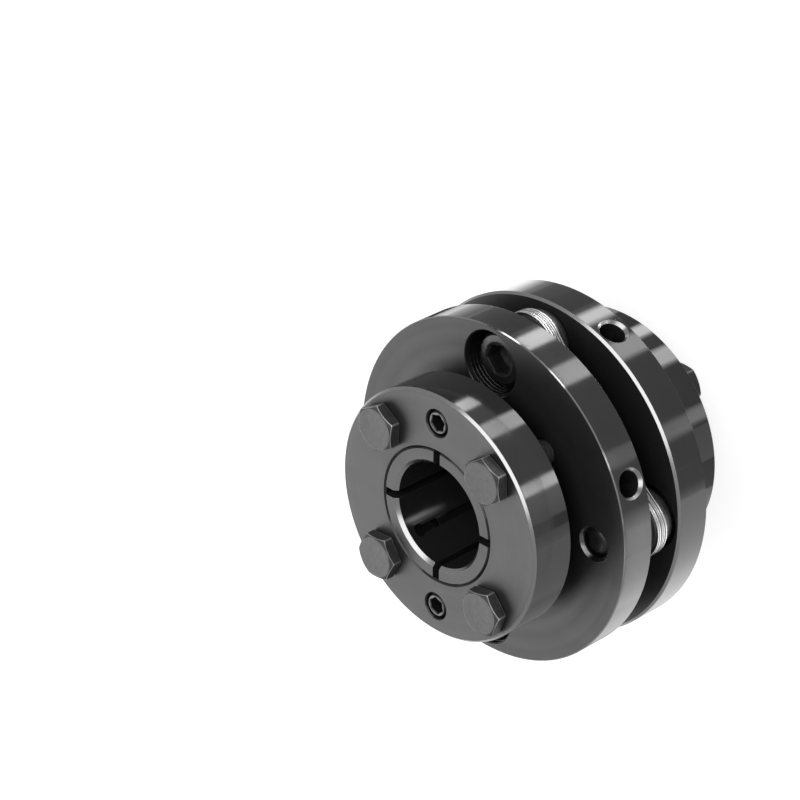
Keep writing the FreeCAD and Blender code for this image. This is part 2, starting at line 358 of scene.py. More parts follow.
# %% Strips of light
# Each band has four patches, for the rear ring, the rear flange, the front flange and the front
# ring. A patch says from which to which angle round the axis it is seen, and how strong it is at
# both ends; None leaves it out. The card's bands are written the same way.
bands = {
    "edge_foot": [
        (-43, -21, 0.7, 1.3), (-43, -20.4, 0.8, 2.3), (-43, -20, 0.5, 2.3), (-43, -20.5, 0.2, 0.5)],
    "foot": [(-21, -6, 1.4, 1.6), (-20.4, 9.8, 2.3, 2.5), (-20, 9, 2.6, 3.6), (-20.5, 7.6, 0.6, 1.5)],
    "foot_end": [(8.4, 24.2, 1.2, 1.2), (9.8, 12.7, 1.7, 0.9), (9, 14.8, 3.3, 1.2), (7.6, 13, 1.3, 1.0)],
    "shoulder": [None, None, None, (18.3, 29.4, 1.3, 1.9)],
    "low": [(26.1, 32.5, 3.4, 3.2), (28.8, 34.1, 2.7, 2.6), (29.1, 34.4, 2.1, 1.8), (30.2, 35.4, 9.3, 8.0)],
    "middle": [(54.2, 62.3, 8, 8), (57.2, 63.9, 5.8, 5.6), (57.5, 64.7, 7.6, 6.6), (58.2, 65.9, 7.2, 6.6)],
    "high": [(70.9, 77.2, 9, 9), (73.2, 78.2, 9.4, 9), (73.8, 80.2, 10, 9.5), (75, 81.2, 8.4, 8.4)],
    "flag": [
        (78.5, 90.2, 0.4, 0.4), (80.9, 98.4, 0.5, 0.5), (82.6, 100, 0.4, 0.4), (82.9, 104.5, 0.2, 0.1)],
    "far": [
        (91.2, 105, 1.8, 1.5), (101.4, 107.2, 1.2, 2.8), (101, 110, 0.45, 1.3), (104.5, 133, 0.1, 0.1)],
    "far_end": [
        (105, 133, 0.6, 0.6), (107.2, 133, 2.8, 2.4), (110, 116, 1.9, 0.8), None],
    "limb": [None, None, (116, 133, 0.05, 0.05), None],
}
soft_bands = ("low", "middle", "high")
soft_ends = (1.4, 1.0, 0.6, 0.8)
column_step = 2.0
card_bands = {
    "edge_foot": (-43, -20.5, 0.2, 0.5),
    "foot": (-20.5, 7.6, 0.6, 1.5),
    "foot_end": (7.6, 13, 1.3, 1.0),
    "plain_foot": (13, 18.3, 0.5, 0.5),
    "shoulder": (18.3, 29.4, 1.3, 1.9),
    "low_start": (29.4, 31.0, 1.9, 9.0),
    "low": (31.0, 34.6, 9.0, 8.4),
    "low_end": (34.6, 36.2, 8.4, 0.8),
    "plain": (36.2, 57.4, 0.8, 0.8),
    "middle_start": (57.4, 59.0, 0.8, 7.2),
    "middle": (59.0, 65.1, 7.2, 6.6),
    "middle_end": (65.1, 66.7, 6.6, 0.3),
    "flag": (66.7, 113, 0.3, 0.12),
}


def strip_material():
    """Light as strong as the strip's own attribute says, and clear from below."""
    material = bpy.data.materials.new("strip_light")
    material.use_nodes = True
    material.node_tree.nodes.clear()
    lines = NodeLines(material.node_tree)
    glow = lines.node("ShaderNodeAttribute", attribute_name="glow").outputs["Fac"]
    light = lines.node("ShaderNodeEmission", {"Color": grey(1.0), "Strength": glow})
    clear = lines.node("ShaderNodeBsdfTransparent")
    below = lines.node("ShaderNodeNewGeometry").outputs["Backfacing"]
    either = lines.node("ShaderNodeMixShader", {0: below, 1: light.outputs[0], 2: clear.outputs[0]})
    lines.node("ShaderNodeOutputMaterial", {"Surface": either.outputs[0]})
    return material


def glowing(name, verts, faces, glow, material):
    """A stage piece that only reflections see, with its strength at each point."""
    mesh = bpy.data.meshes.new(name)
    mesh.from_pydata(verts, [], faces)
    mesh.attributes.new("glow", "FLOAT", "POINT").data.foreach_set("value", glow)
    mesh.materials.append(material)
    piece = linked(name, mesh)
    piece.visible_camera = False
    piece.visible_diffuse = False
    piece.visible_shadow = False
    piece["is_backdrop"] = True
    return [face.normal.copy() for face in mesh.polygons]


def columns_of(start, end, first, last, soft):
    """Angles across a patch with the strength at each; soft ends fade to the floor's own glow."""
    count = max(2, round((end - start) / column_step))
    inner = start + soft
    step = (end - soft - inner) / count
    columns = [(inner + step * i, first + (last - first) * i / count) for i in range(count + 1)]
    if soft:
        columns = [(start - soft, floor_glow_in_steel), *columns, (end + soft, floor_glow_in_steel)]
    return columns


def strip(name, patches, material):
    """Patches of light, each for one side: two angles, the strength at both, and soft ends."""
    verts = []
    faces = []
    glow = []
    for (radius, heights, level), band, soft in patches:
        columns = columns_of(*band, soft)
        wide = len(columns)
        corner = len(verts)
        for row in (0, 1):
            for angle, strength in columns:
                x, y = comes_down(radius, heights(angle)[row], angle, level)
                verts.append((x, y, level))
                glow.append(strength)
        for i in range(corner, corner + wide - 1):
            faces.append((i, i + wide, i + wide + 1, i + 1))
    return min(way.z for way in glowing(name, verts, faces, glow, material))


camera_azimuth = math.atan2(camera_place.y, camera_place.x)
camera_slope = (camera_place - camera_target).normalized()
camera_slope = camera_slope.z / math.hypot(camera_slope.x, camera_slope.y)
bore_radius = 16 * mm
bore_mouth = 37.2 * mm
streak_angle = 212
streak_rows = ((0.3, 1.0), (3.0, 3.8), (8.0, 3.0), (17.0, 0.0))
streak_columns = ((-1.1, 0.0), (-0.2, 1.0), (0.2, 1.0), (1.1, 0.0))


def bore_card(material):
    """A thin upright light on the bore's axis that shows as one streak along its wall."""
    a = math.radians(streak_angle)
    b = 2 * a - camera_azimuth
    reach = -bore_radius * math.cos(b - a)
    wall = Vector((bore_radius * math.cos(a), bore_radius * math.sin(a)))
    middle = wall + Vector((math.cos(b), math.sin(b))) * reach
    across = Vector((-math.sin(b), math.cos(b)))
    verts = []
    glow = []
    for depth, strength in streak_rows:
        level = bore_mouth - depth * mm - reach * camera_slope
        for offset, part in streak_columns:
            x, y = middle + across * offset * mm
            verts.append((x, y, level))
            glow.append(strength * part)
    wide = len(streak_columns)
    faces = []
    for i in range(len(verts) - wide):
        if (i + 1) % wide:
            faces.append((i, i + 1, i + wide + 1, i + wide))
    ways = glowing("bore_card", verts, faces, glow, material)
    return ways[0].xy.dot(wall) > 0


strip_light = strip_material()
places = [on_floor(side) for side in floor_sides]
places.append(past_flange("front_clamp_ring", "front_flange"))
upward = []
for name, sides in bands.items():
    soft = soft_ends if name in soft_bands else (0, 0, 0, 0)
    patches = [(place, *rest) for place, *rest in zip(places, sides, soft) if rest[0]]
    upward.append(strip("strip_" + name, patches, strip_light))
card = on_flange("front_clamp_ring", "front_flange")
upward.append(strip("ring_card", [(card, band, 0) for band in card_bands.values()], strip_light))
facing = bore_card(strip_light)
print(len(bands), "strips and a card; faces look up:", min(upward) > 0, "and to the wall:", facing)

# %% [markdown]
# ## Black oxide steel
#
# Black oxide is a thin grown skin on turned steel. It doesn't hide the tool marks, so the steel
# stays shiny: a face shows rings from the lathe and a side shows fine lines round it. After
# blackening, some edges were cut again and left bright. The finish therefore depends on where a
# point lies: on a side, on a face or on a slope between them. This group finds that out from the
# surface's direction and its distance from the axis, so one material serves a whole turned part.

# %% Node group: where a point lies on a turned part
def group(name, inputs, outputs):
    """An empty shader group with float and vector sockets, and its line writer."""
    tree = bpy.data.node_groups.new(name, "ShaderNodeTree")
    for label, kind, value in inputs:
        socket = tree.interface.new_socket(label, in_out="INPUT", socket_type="NodeSocket" + kind)
        if value is not None:
            socket.default_value = value
    for label, kind in outputs:
        tree.interface.new_socket(label, in_out="OUTPUT", socket_type="NodeSocket" + kind)
    lines = NodeLines(tree)
    return tree, lines, lines.node("NodeGroupInput"), lines.node("NodeGroupOutput")


face_least = 0.93
slope_least = 0.5
slope_most = 0.85


def zones_group():
    """Face and slope masks, the point's radius and height in millimetres, and the way out."""
    outputs = [(label, "Float") for label in ("Face", "Slope", "Radius", "Height")]
    outputs += [("Outward", "Vector")]
    tree, lines, _, out = group("turned_zones", [], outputs)
    place = lines.node("ShaderNodeTexCoord").outputs["Object"]
    x, y, z = lines.node("ShaderNodeSeparateXYZ", {0: place}).outputs
    flat = lines.node("ShaderNodeCombineXYZ", {"X": x, "Y": y}).outputs[0]
    radius = lines.node("ShaderNodeVectorMath", {0: flat}, operation="LENGTH").outputs["Value"]
    outward = lines.node("ShaderNodeVectorMath", {0: flat}, operation="NORMALIZE").outputs[0]
    facing = lines.node("ShaderNodeNewGeometry").outputs["True Normal"]
    along = lines.dot(outward, facing)
    upward = lines.node("ShaderNodeSeparateXYZ", {0: facing}).outputs["Z"]
    lines.fill(out, {
        "Face": lines.math("GREATER_THAN", lines.math("ABSOLUTE", upward), face_least),
        "Slope": lines.between(lines.math("ABSOLUTE", along), slope_least, slope_most),
        "Radius": lines.math("DIVIDE", radius, mm),
        "Height": lines.math("DIVIDE", z, mm),
        "Outward": outward,
    })
    return tree


zones = zones_group()
print("zones:", [socket.name for socket in zones.interface.items_tree])

# %% [markdown]
# A lathe tool leaves one fine groove for each turn. On a face the grooves are rings, so they depend
# on the radius; on a side they depend on the height. One-dimensional noise of that number gives
# lines that never repeat and always run round the axis. There are two scales: the grooves
# themselves, and slow bands where the tool cut a little better or worse.

# %% Node group: lathe marks
def lathe_group():
    """Grooves round the axis for a Bump node, and bands for the roughness, both from 0 to 1."""
    inputs = [("Radius", "Float", 0.0), ("Height", "Float", 0.0), ("Face", "Float", 0.0)]
    inputs += [("Feed", "Float", 0.25)]
    tree, lines, given, out = group("lathe_marks", inputs, [("Groove", "Float"), ("Band", "Float")])
    across = lines.blend(given.outputs["Face"], given.outputs["Height"], given.outputs["Radius"])
    fine = lines.math("DIVIDE", across, given.outputs["Feed"])
    lines.feed(out.inputs["Groove"], lines.noise_along(fine, 1.0, 2.0))
    lines.feed(out.inputs["Band"], lines.noise_along(across, 0.35, 3.0))
    return tree


lathe = lathe_group()
print("lathe marks ready")

# %% [markdown]
# The oxide skin is never quite even: it is mottled where the bath moved, it holds faint smears of
# oil, and handling leaves small scratches. All three are much weaker than a beginner would paint
# them, a few percent of the colour and a little of the gloss, but without them black steel looks
# like plastic.

# %% Node group: mottling, smears and scratches
def skin_group():
    """Slow mottling, fine specks and grain, oil smears and thin scratches, each from 0 to 1."""
    names = ("Mottle", "Speck", "Grain", "Smear", "Scratch")
    tree, lines, given, out = group("oxide_skin", [("Seed", "Float", 0.0)], [(n, "Float") for n in names])
    place = lines.node("ShaderNodeTexCoord").outputs["Object"]
    seed = given.outputs["Seed"]

    def noise(scale, detail, where=place):
        """Noise with this many bumps for each metre."""
        inputs = {"Vector": where, "W": seed, "Scale": scale, "Detail": detail}
        return lines.node("ShaderNodeTexNoise", inputs, noise_dimensions="4D").outputs["Fac"]

    stretched = lines.node("ShaderNodeMapping", {"Vector": place, "Scale": (0.25, 1.0, 0.6)})
    drawn_out = {"Vector": place, "Rotation": (0.4, 0.9, 0.3), "Scale": (1.0, 0.02, 0.02)}
    drawn_out = lines.node("ShaderNodeMapping", drawn_out)
    lines.fill(out, {
        "Mottle": noise(160.0, 3.0),
        "Speck": lines.ramp(noise(2600.0, 1.0), 0.66, 0.78),
        "Grain": noise(900.0, 3.0),
        "Smear": lines.ramp(noise(75.0, 4.0, stretched.outputs[0]), 0.48, 0.7),
        "Scratch": lines.ramp(noise(1500.0, 0.0, drawn_out.outputs[0]), 0.74, 0.8),
    })
    return tree


skin = skin_group()
print("skin:", [socket.name for socket in skin.interface.items_tree])

# %% [markdown]
# No machined edge is perfectly sharp, and an edge is where black oxide wears first. The Bevel node
# bends the surface's direction near an edge, as a tiny rounding would, so every edge of a part
# catches a thin line of light without one extra face. How far it bends also tells how near the edge
# is, which gives the mask for a lighter edge colour: partly wear, partly a painted highlight.

# %% Node group: rounded edges, and a mask for wear and painted highlight
edge_starts = 0.995
edge_full = 0.9


def edges_group():
    """A normal that rounds the edges, and a mask that is 1 along them."""
    inputs = [("Width", "Float", 0.1 * mm), ("Normal", "Vector", None)]
    tree, lines, given, out = group("rounded_edges", inputs, [("Normal", "Vector"), ("Edge", "Float")])
    bent = {"Radius": given.outputs["Width"], "Normal": given.outputs["Normal"]}
    bent = lines.node("ShaderNodeBevel", bent, samples=8).outputs[0]
    facing = lines.node("ShaderNodeNewGeometry").outputs["Normal"]
    lines.feed(out.inputs["Normal"], bent)
    lines.feed(out.inputs["Edge"], lines.ramp(lines.dot(bent, facing), edge_starts, edge_full))
    return tree


edges = edges_group()
print("edges ready")

# %% [markdown]
# Now the steel itself. Oxide on steel is nearly a metal to the eye: its reflections have no colour
# and grow at a grazing look. So it is a half metallic Principled BSDF with a very dark base colour,
# which throws back a few percent, and not a black paint under a clear coat. The slopes that were
# cut bright are full metal with a light base colour, through a mask.

# %% Materials of the turned parts
oxide_base = 0.038
# Painted shade: a flange's faces are darker than the ring's, as in the ring's shade.
flange_face_shaded_base = 0.024
oxide_metallic = 0.5
side_roughness = 0.1
face_roughness = 0.45
bright_cut_base = 0.45
bright_cut_roughness = 0.24
# Painted highlight: the colour of the thin rim line on the flange's front edge.
rim_highlight_base = 0.22
mottle_least = 0.85
mottle_spread = 0.3
scratch_base = 0.08
scratch_share = 0.1
# Edges of turned parts are lighter: partly wear, partly painted highlight.
edge_wear_and_highlight_base = 0.12
edge_wear_and_highlight_share = 0.4
banding_spread = 0.1
smear_roughness = 0.04
lathe_strength = 0.06
lathe_depth = 0.05 * mm
turned_edge = 0.12 * mm
small_edge = 0.1 * mm
no_rim = (99.0, 99.0)


def placed_group(lines, tree, **inputs):
    """A node group in a material, with its inputs filled."""
    return lines.node("ShaderNodeGroup", inputs, node_tree=tree).outputs


def bumped_edges(lines, height, strength, depth, width):
    """Bumps from a height, and edges that are rounded over them."""
    bump = {"Height": height, "Strength": strength, "Distance": depth}
    bump = lines.node("ShaderNodeBump", bump).outputs[0]
    return placed_group(lines, edges, Width=width, Normal=bump)


def steel_material(name):
    """A metallic material, with its line writer and its shader."""
    material = bpy.data.materials.new(name)
    material.use_nodes = True
    shader = material.node_tree.nodes["Principled BSDF"]
    shader.inputs["Metallic"].default_value = 1.0
    return material, NodeLines(material.node_tree), shader


def turned_steel(name, seed, cut, face_base, rim=no_rim):
    """Black turned steel. Its slopes are cut bright in one ring: two radii and two heights (mm).

    The rim is a thin front edge, between two heights, with a lighter painted highlight colour and the
    side's own direction, so it shines like the side it belongs to.
    """
    material, lines, shader = steel_material(name)
    zone = placed_group(lines, zones)
    marks = placed_group(lines, lathe, Radius=zone["Radius"], Height=zone["Height"], Face=zone["Face"])
    wear = placed_group(lines, skin, Seed=seed)
    height = lines.math("ABSOLUTE", zone["Height"])
    bright = lines.times(zone["Slope"], lines.between(zone["Radius"], cut[0], cut[1]))
    bright = lines.times(bright, lines.between(height, cut[2], cut[3]))
    rim_highlight_mask = lines.times(zone["Slope"], lines.between(height, rim[0], rim[1]))
    rim_highlight_mask = lines.times(rim_highlight_mask, lines.math("GREATER_THAN", zone["Radius"], cut[0]))
    groove = lines.times(marks["Groove"], lines.math("SUBTRACT", 1.0, bright))
    edge = bumped_edges(lines, groove, lathe_strength, lathe_depth, turned_edge)
    tone = lines.blend(zone["Face"], oxide_base, face_base)
    mottled = lines.math("ADD", mottle_least, lines.times(wear["Mottle"], mottle_spread))
    tone = lines.times(tone, mottled)
    dark = lines.node("ShaderNodeCombineColor", {"Red": tone, "Green": tone, "Blue": tone}).outputs[0]
    dark = lines.blend(lines.times(wear["Scratch"], scratch_share), dark, grey(scratch_base))
    # Lighter edges: partly wear, partly painted highlight.
    dark = lines.blend(lines.times(edge["Edge"], edge_wear_and_highlight_share), dark, grey(edge_wear_and_highlight_base))
    # Painted highlight: the rim line is lighter metal and faces outward like the side.
    dark = lines.blend(rim_highlight_mask, dark, grey(rim_highlight_base))
    banding = lines.times(lines.math("SUBTRACT", marks["Band"], 0.5), banding_spread)
    gloss = lines.math("ADD", lines.blend(zone["Face"], side_roughness, face_roughness), banding)
    gloss = lines.math("ADD", gloss, lines.times(wear["Smear"], smear_roughness))
    lines.fill(shader, {
        "Base Color": lines.blend(bright, dark, grey(bright_cut_base)),
        "Metallic": lines.blend(lines.math("MAXIMUM", bright, rim_highlight_mask), oxide_metallic, 1.0),
        "Roughness": lines.blend(bright, gloss, bright_cut_roughness),
        "Normal": lines.blend(rim_highlight_mask, edge["Normal"], zone["Outward"]),
    })
    return material


flange_cut = (50.9, 53.0, 2.0, 16.0)
ring_cut = (37.0, 39.0, 36.5, 38.0)
sleeve_cut = (15.9, 17.1, 36.0, 38.0)
turned = {
    # The flange's darker face colour is painted shade.
    "flange": turned_steel("flange_oxide", 1.0, flange_cut, flange_face_shaded_base, rim=(16.5, 17.1)),
    "clamp_ring": turned_steel("ring_oxide", 2.0, ring_cut, oxide_base),
    "taper_sleeve": turned_steel("sleeve_oxide", 3.0, sleeve_cut, oxide_base),
}
for kind, material in turned.items():
    alike = [name for name in nodes if name.endswith(kind)]
    for name in alike:
        nodes[name].material_slots[0].material = material
    print(material.name, "on", alike)

# %% [markdown]
# Screws are black too, but forged and rolled instead of turned: no rings, more mottling, and
# lighter corners and edges, partly wear and partly painted glints. The discs are bare stainless
# strip, the only bright metal here.

# %% Materials of the screws, collars and discs
wear_and_glint_roughness = 0.3
wear_and_glint_patches = (0.3, 0.6)
grain_share = 0.8
forged_strength = 0.3
forged_depth = 0.1 * mm
tone_range = (0.35, 0.65)
dark_part = 0.7
light_part = 1.3
speck_part = 2.5
speck_share = 0.3
gloss_spread = 0.2
disc_pitch = 0.8
disc_lines = 9.0
disc_tones = (0.22, 0.75)
disc_gloss = (0.2, 0.32)
disc_strength = 0.2


def forged_steel(name, seed, base, roughness, wear_and_glint_base, metallic, specular=0.5):
    """Black forged steel, mottled, and lighter along its edges: wear, and painted glints."""
    material, lines, shader = steel_material(name)
    wear = placed_group(lines, skin, Seed=seed)
    height = lines.math("ADD", wear["Mottle"], lines.times(wear["Grain"], grain_share))
    edge = bumped_edges(lines, height, forged_strength, forged_depth, small_edge)
    # The wear attribute marks edges, corners and crests: partly real wear, partly painted glints.
    wear_and_glint_mask = lines.node("ShaderNodeAttribute", attribute_name="wear").outputs["Fac"]
    wear_and_glint_mask = lines.times(wear_and_glint_mask, lines.ramp(wear["Mottle"], *wear_and_glint_patches))
    tone = lines.times(lines.math("ADD", wear["Mottle"], wear["Grain"]), 0.5)
    tone = lines.ramp(tone, *tone_range)
    colour = lines.blend(tone, grey(base * dark_part), grey(base * light_part))
    colour = lines.blend(lines.times(wear["Speck"], speck_share), colour, grey(base * speck_part))
    gloss = lines.times(lines.math("SUBTRACT", wear["Mottle"], 0.5), gloss_spread)
    gloss = lines.math("ADD", roughness, gloss)
    lines.fill(shader, {
        "Base Color": lines.blend(wear_and_glint_mask, colour, grey(wear_and_glint_base)),
        "Metallic": lines.blend(wear_and_glint_mask, metallic, 1.0),
        "Specular IOR Level": specular,
        "Roughness": lines.blend(wear_and_glint_mask, gloss, wear_and_glint_roughness),
        "Normal": edge["Normal"],
    })
    return material


def disc_steel():
    """Bare stainless strip: fine lines along the cut edge, a slightly different tone for each disc.

    Counted from 12.5 discs below the middle, each whole step is the border between two discs.
    """
    material, lines, shader = steel_material("disc_stainless")
    zone = placed_group(lines, zones)
    wear = placed_group(lines, skin, Seed=7.0)
    layer = lines.math("DIVIDE", lines.math("ADD", zone["Height"], 12.5 * disc_pitch), disc_pitch)
    layer = lines.math("FLOOR", layer)
    tone = lines.node("ShaderNodeTexWhiteNoise", {"W": layer}, noise_dimensions="1D").outputs["Value"]
    streak = lines.noise_along(lines.times(zone["Height"], disc_lines), 1.0, 2.0)
    tone = lines.math("ADD", lines.times(tone, 0.5), lines.times(streak, 0.5))
    edge = bumped_edges(lines, streak, disc_strength, lathe_depth, small_edge)
    lines.fill(shader, {
        "Base Color": lines.blend(tone, *map(grey, disc_tones)),
        "Roughness": lines.blend(wear["Mottle"], *disc_gloss),
        "Normal": edge["Normal"],
    })
    return material


# The wear_and_glint_base colour is for worn edges and for the painted glints along them.
bolt_look = {"base": 0.06, "roughness": 0.44, "wear_and_glint_base": 0.9, "metallic": 0.2, "specular": 0.25}
screw_look = {"base": 0.05, "roughness": 0.36, "wear_and_glint_base": 0.15, "metallic": 0.8}
collar_look = {"base": 0.09, "roughness": 0.34, "wear_and_glint_base": 0.6, "metallic": 0.4}
thread_look = {"base": 0.06, "roughness": 0.26, "wear_and_glint_base": 0.4, "metallic": 0.9}
bolt_material = forged_steel("bolt_oxide", 4.0, **bolt_look)
screw_material = forged_steel("screw_oxide", 5.0, **screw_look)
collar_material = forged_steel("collar_oxide", 6.0, **collar_look)
thread_material = forged_steel("cut_thread", 8.0, **thread_look)
disc_material = disc_steel()
print("materials:", len(bpy.data.materials))

# %% [markdown]
# ## Screws with Geometry Nodes
#
# The model's screws are plain: straight shanks and knife edges. The real ones have rolled threads,
# rounded corners and slightly dished heads. Each kind is drawn once, about its own axis, as rings
# of points from the middle outwards. A ring may be a circle or a hexagon with rounded corners, and
# the crown of a bolt head is where a cone cuts the hexagon, so its ring dips towards the corners.

# %% Rings of points
def hexagon(flats, corner):
    """Distance to a hexagon across its flats, with corners rounded to this radius."""
    inner = (flats / 2 - corner) / math.cos(math.radians(30))
    tangent = math.atan2(corner * 0.5, inner + corner * math.cos(math.radians(30)))

    def reach(angle):
        off = (angle + math.pi / 6) % (math.pi / 3) - math.pi / 6
        if abs(off) < tangent:
            return inner * math.cos(off) + math.sqrt(corner ** 2 - (inner * math.sin(off)) ** 2)
        return flats / 2 / math.cos(math.pi / 6 - abs(off))

    return reach


sector = (0.0, 0.8, 1.6, 2.6, 6.0, 11.0, 17.0, 23.5, 30.0, 36.5, 43.0, 49.0, 54.0, 57.4, 58.4, 59.2)
ring_angles = [math.radians(60 * k + step) for k in range(6) for step in sector]


def along(value, angle):
    """A number as it is, or a function of the angle."""
    return value(angle) if callable(value) else value


def ringed_mesh(name, rings):
    """A closed mesh through rings of (reach, height, wear and painted glint), in mm; the first and last are
    points.
    """
    verts = []
    faces = []
    wear = []
    count = len(ring_angles)
    for reach, height, wear_and_glint_mask in rings[1:-1]:
        for a in ring_angles:
            r = along(reach, a)
            verts.append((r * math.cos(a) * mm, r * math.sin(a) * mm, along(height, a) * mm))
            wear.append(along(wear_and_glint_mask, a))
    for j in range(len(rings) - 3):
        for i in range(count):
            k = (i + 1) % count
            faces.append((j * count + i, j * count + k, (j + 1) * count + k, (j + 1) * count + i))
    first = len(verts)
    verts.append((0, 0, rings[0][1] * mm))
    verts.append((0, 0, rings[-1][1] * mm))
    wear += [0.0, 0.0]
    last = (len(rings) - 3) * count
    for i in range(count):
        k = (i + 1) % count
        faces.append((first, k, i))
        faces.append((first + 1, last + i, last + k))
    return closed_mesh(name, verts, faces, wear, sharp_angle=35)


def closed_mesh(name, verts, faces, wear, sharp_angle):
    """A mesh with outward faces, smooth except at its sharp edges, and its wear and painted glints as an
    attribute.
    """
    mesh = bpy.data.meshes.new(name)
    mesh.from_pydata(verts, [], faces)
    work = bmesh.new()
    work.from_mesh(mesh)
    bmesh.ops.recalc_face_normals(work, faces=work.faces)
    work.to_mesh(mesh)
    work.free()
    # The wear attribute holds both wear and painted glints.
    mesh.attributes.new("wear", "FLOAT", "POINT").data.foreach_set("value", wear)
    mesh.polygons.foreach_set("use_smooth", [True] * len(mesh.polygons))
    mesh.set_sharp_from_angle(angle=math.radians(sharp_angle))
    return mesh


print(len(ring_angles), "points in a ring")

# %% [markdown]
# The bolt head is a rolled hexagon with a thirty degree crown and a small washer face underneath.
# Its top is slightly dished by forging. The rings run from the middle of the top, out over the
# crown, down the flats, in under the washer face and down the shank to the tip.

# %% One clamp bolt, one jack screw, one pack screw
def crown(reach, face_radius, top, drop=0.0):
    """Height of the thirty degree crown above a ring of this reach."""
    slope = math.tan(math.radians(30))
    return lambda angle: top - max(0.0, reach(angle) - face_radius) * slope - drop


def corners(most, least=0.0):
    """Wear and painted glints along the corners of a hexagon, within two degrees, and less between them."""
    return lambda angle: most if abs((math.degrees(angle) + 30) % 60 - 30) < 2.0 else least


def bolt_mesh():
    """Hexagon head bolt about the Z axis, with its washer face at height 0."""
    flats, top, face = 12.8, 4.0, 6.05
    full = hexagon(flats, 0.3)
    inside = hexagon(flats - 0.12, 0.25)
    within = hexagon(flats - 0.4, 0.25)
    rings = [(0, top - 0.1, 0), (2.6, top - 0.09, 0), (4.2, top - 0.04, 0), (5.2, top - 0.005, 0)]
    # The wear values on the face's edge, the crown and the corners are partly painted highlight lines.
    rings += [(5.6, top, 0), (face - 0.12, top, 0), (face, top - 0.01, 0.12), (face + 0.1, top - 0.06, 0)]
    rings += [(within, crown(within, face, top), 0), (inside, crown(inside, face, top), corners(0.9, 0.5))]
    rings += [(full, crown(full, face, top, 0.08), corners(0.9, 0.5))]
    rings += [(full, crown(full, face, top, 0.2), corners(0.4))]
    rings += [(full, 0.75, corners(0.3)), (full, 0.55, 0.3), (inside, 0.42, 0.2), (6.05, 0.34, 0)]
    rings += [(6.0, 0.0, 0), (4.3, 0.0, 0), (4.0, -0.35, 0), (4.0, -8.0, 0), (3.4, -8.6, 0)]
    rings += [(3.4, -30.3, 0), (2.7, -31.0, 0), (0, -31.0, 0)]
    return ringed_mesh("clamp_bolt", rings)


def jack_mesh():
    """Headless socket screw about the Z axis, with its end face at height 0."""
    socket = hexagon(4.4, 0.15)
    mouth = hexagon(4.7, 0.3)
    rings = [(0, -5.9, 0), (1.9, -4.9, 0), (socket, -4.7, 0), (socket, -0.3, 0), (mouth, -0.1, 0)]
    # Wear values here make a light ring round the socket's mouth: partly wear, partly painted highlight.
    rings += [(2.8, 0.0, 0.3), (3.0, 0.0, 0.4), (3.2, -0.1, 0.2), (3.4, -0.45, 0), (3.4, -11.6, 0)]
    rings += [(2.7, -12.5, 0), (0, -12.5, 0)]
    return ringed_mesh("jack_screw", rings)


def pack_screw_mesh():
    """Low socket head screw about the Z axis, with the underside of its head at height 0."""
    top, head = 8.0, 8.0
    socket = hexagon(8.0, 0.25)
    mouth = hexagon(8.4, 0.8)
    knurl = {a: (head if i % 2 else head - 0.3) for i, a in enumerate(ring_angles)}
    # Wear on the socket's mouth, the head's edge and every other knurl crest: partly wear, partly painted
    # glints.
    crest = {a: (1.0 if i % 2 else 0.0) for i, a in enumerate(ring_angles)}
    rings = [(0, top - 7.2, 0), (3.6, top - 5.1, 0), (socket, top - 5.0, 0), (socket, top - 0.5, 0)]
    rings += [(mouth, top - 0.2, 0), (5.05, top - 0.04, 0.3), (5.15, top, 0.3), (5.4, top, 0)]
    rings += [(6.9, top, 0), (7.15, top - 0.05, 0.5), (7.5, top - 0.5, 0.2)]
    rings += [(knurl.get, top - 0.95, crest.get), (knurl.get, 1.3, crest.get), (7.7, 0.9, 0)]
    rings += [(7.7, 0.0, 0), (5.3, 0.0, 0), (5.0, -0.4, 0), (5.0, -9.0, 0), (4.25, -9.7, 0)]
    rings += [(4.25, -19.2, 0), (4.1, -20.0, 0), (3.5, -20.8, 0), (2.4, -21.25, 0)]
    rings += [(1.2, -21.42, 0), (0, -21.45, 0)]
    return ringed_mesh("pack_screw", rings)


bolt_piece = bolt_mesh()
jack_piece = jack_mesh()
pack_screw_piece = pack_screw_mesh()
print("points:", len(bolt_piece.vertices), len(jack_piece.vertices), len(pack_screw_piece.vertices))

# %% [markdown]
# A thread is a small ridge that follows a helix, which is a job for two Geometry Nodes: Spiral
# draws the helix and Curve to Mesh sweeps a triangle along it. The rest of the tree sets one screw
# on every point it is given, turned as the point says. Instances don't survive an export, so the
# tree ends in Realize Instances and Set Material, and the result becomes a plain mesh.

# %% Geometry Nodes tree: threaded pieces on points
class Tree(NodeLines):
    """A Geometry Nodes tree with named inputs and one geometry output."""

    def __init__(self, name, inputs):
        super().__init__(bpy.data.node_groups.new(name, "GeometryNodeTree"))
        face = self.tree.interface
        self.sockets = {}
        face.new_socket("Geometry", in_out="INPUT", socket_type="NodeSocketGeometry")
        for label, kind, value in inputs:
            socket = face.new_socket(label, in_out="INPUT", socket_type="NodeSocket" + kind)
            if value is not None:
                socket.default_value = value
            self.sockets[label] = socket.identifier
        face.new_socket("Geometry", in_out="OUTPUT", socket_type="NodeSocketGeometry")
        self.given = self.node("NodeGroupInput").outputs
        self.result = self.node("NodeGroupOutput").inputs[0]


